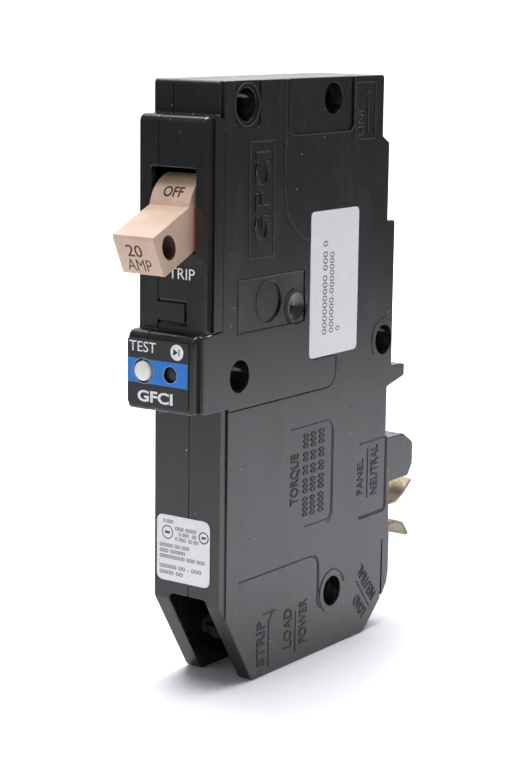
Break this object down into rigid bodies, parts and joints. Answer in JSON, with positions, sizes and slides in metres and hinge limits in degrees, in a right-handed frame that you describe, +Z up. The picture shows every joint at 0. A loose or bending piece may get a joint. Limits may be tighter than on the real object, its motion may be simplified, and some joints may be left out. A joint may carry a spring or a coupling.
{
  "type": "gfci breaker",
  "caption": "Single-pole plug-on circuit breaker with ground-fault and arc-fault protection: two-shell case, toggle lever, test button, line jaw, neutral clip and screw terminals.",
  "frame": {"origin": "under the middle of the whole breaker's box, on the flat load end that it stands on", "axes": "+Z up the case from the load end to the line end, -Y towards the handle side, +Y towards the plug-on side, X across the one-pole width"},
  "size_m": [0.019, 0.1028, 0.1364],
  "materials": {
    "black_plastic": "satin moulded",
    "beige_plastic": "satin moulded",
    "white_plastic": "moulded",
    "red_plastic": "moulded",
    "smoked_lens": "polished lens",
    "black_label": "printed film",
    "white_label": "printed film",
    "brass": "stamped",
    "copper": "copper, stamped",
    "silver_contact": "silver or tin plated",
    "steel": "zinc plated",
    "bimetal": "rolled strip",
    "coil_wire": "enamelled winding",
    "grey_fibre": "pressed fibre",
    "circuit_board": "solder mask",
    "dark_epoxy": "moulded epoxy",
    "blue_epoxy": "dipped epoxy",
    "sensor_tape": "wound tape",
    "black_insulation": "wire insulation",
    "white_insulation": "wire insulation"
  },
  "bodies": {
    "case": {"right_shell": "black_plastic", "left_shell": "black_plastic", "rivet_1": "brass", "rivet_2": "brass", "rivet_3": "brass", "rivet_4": "brass", "rivet_5": "brass", "test_label": "black_label", "rating_label": "white_label", "side_label": "white_label", "handle_pin": "steel", "arm_pin": "steel", "cradle_pin": "steel", "armature_pin": "steel", "trip_flag": "red_plastic", "fixed_contact": "silver_contact", "line_strap": "copper", "line_jaw": "copper", "jaw_spring_upper": "steel", "jaw_spring_lower": "steel", "toggle_spring": "steel", "bimetal": "bimetal", "magnet_yoke": "steel", "calibration_screw": "steel", "solenoid_coil": "coil_wire", "solenoid_frame": "steel", "arc_cheek_right": "grey_fibre", "arc_cheek_left": "grey_fibre", "arc_plate_1": "steel", "arc_plate_2": "steel", "arc_plate_3": "steel", "contact_braid": "copper", "test_button_spring": "steel", "test_contact": "brass", "led_lens": "smoked_lens", "front_board": "circuit_board", "main_board": "circuit_board", "control_chip": "dark_epoxy", "surge_arrester": "blue_epoxy", "capacitor": "dark_epoxy", "ground_fault_sensor": "sensor_tape", "arc_fault_sensor": "sensor_tape", "power_conductor": "black_insulation", "neutral_conductor": "white_insulation", "neutral_clip": "brass", "load_terminal": "copper", "neutral_terminal": "silver_contact"},
    "handle": {"handle": "beige_plastic"},
    "contact_arm": {"contact_arm": "copper", "moving_contact": "silver_contact"},
    "cradle": {"cradle": "steel"},
    "armature": {"armature": "steel"},
    "plunger": {"solenoid_plunger": "steel"},
    "test_button": {"test_button": "white_plastic"},
    "load_clamp": {"load_clamp": "steel"},
    "load_screw": {"load_screw": "steel"},
    "neutral_clamp": {"neutral_clamp": "steel"},
    "neutral_screw": {"neutral_screw": "steel"}
  },
  "joints": [
    {"name": "handle_toggle", "type": "hinge", "parent": "case", "child": "handle", "pos_m": [0, -0.03115, 0.10832], "axis": [-1, 0, 0], "range_deg": [0, 49]},
    {"name": "contact_arm_swing", "type": "hinge", "parent": "case", "child": "contact_arm", "pos_m": [0, -0.01898, 0.1073], "axis": [1, 0, 0], "range_deg": [0, 16.1], "deforming": ["toggle_spring", "contact_braid"]},
    {"name": "cradle_trip", "type": "hinge", "parent": "case", "child": "cradle", "pos_m": [0, -0.01598, 0.125], "axis": [-1, 0, 0], "range_deg": [0, 12]},
    {"name": "armature_release", "type": "hinge", "parent": "case", "child": "armature", "pos_m": [0, 0.01662, 0.084], "axis": [-1, 0, 0], "range_deg": [0, 5], "stiffness_Nm_per_rad": 0.01, "springref_deg": -2.86},
    {"name": "plunger_stroke", "type": "slide", "parent": "case", "child": "plunger", "axis": [0, 1, 0], "range_m": [0, 0.0013], "stiffness_N_per_m": 150, "springref_m": -0.0005},
    {"name": "test_button_press", "type": "slide", "parent": "case", "child": "test_button", "axis": [0, 1, 0], "range_m": [0, 0.0015], "stiffness_N_per_m": 400, "springref_m": -0.001, "deforming": ["test_button_spring"]},
    {"name": "load_clamp_travel", "type": "slide", "parent": "case", "child": "load_clamp", "axis": [0, 1, 0], "range_m": [0, 0.00297]},
    {"name": "load_screw_turn", "type": "hinge", "parent": "load_clamp", "child": "load_screw", "pos_m": [0, -0.01798, 0.012], "axis": [0, 1, 0], "range_deg": [0, 1350]},
    {"name": "neutral_clamp_travel", "type": "slide", "parent": "case", "child": "neutral_clamp", "axis": [0, 0.7513, 0.66], "range_m": [0, 0.00297]},
    {"name": "neutral_screw_turn", "type": "hinge", "parent": "neutral_clamp", "child": "neutral_screw", "pos_m": [0, 0.02502, 0.012], "axis": [0, 0.7513, 0.66], "range_deg": [0, 1350]}
  ],
  "couplings": [
    {"joint": "contact_arm_swing", "follows": "handle_toggle", "ratio": 0.32653},
    {"joint": "load_screw_turn", "follows": "load_clamp_travel", "rad_per_m": 7915.8},
    {"joint": "neutral_screw_turn", "follows": "neutral_clamp_travel", "rad_per_m": 7915.8}
  ]
}
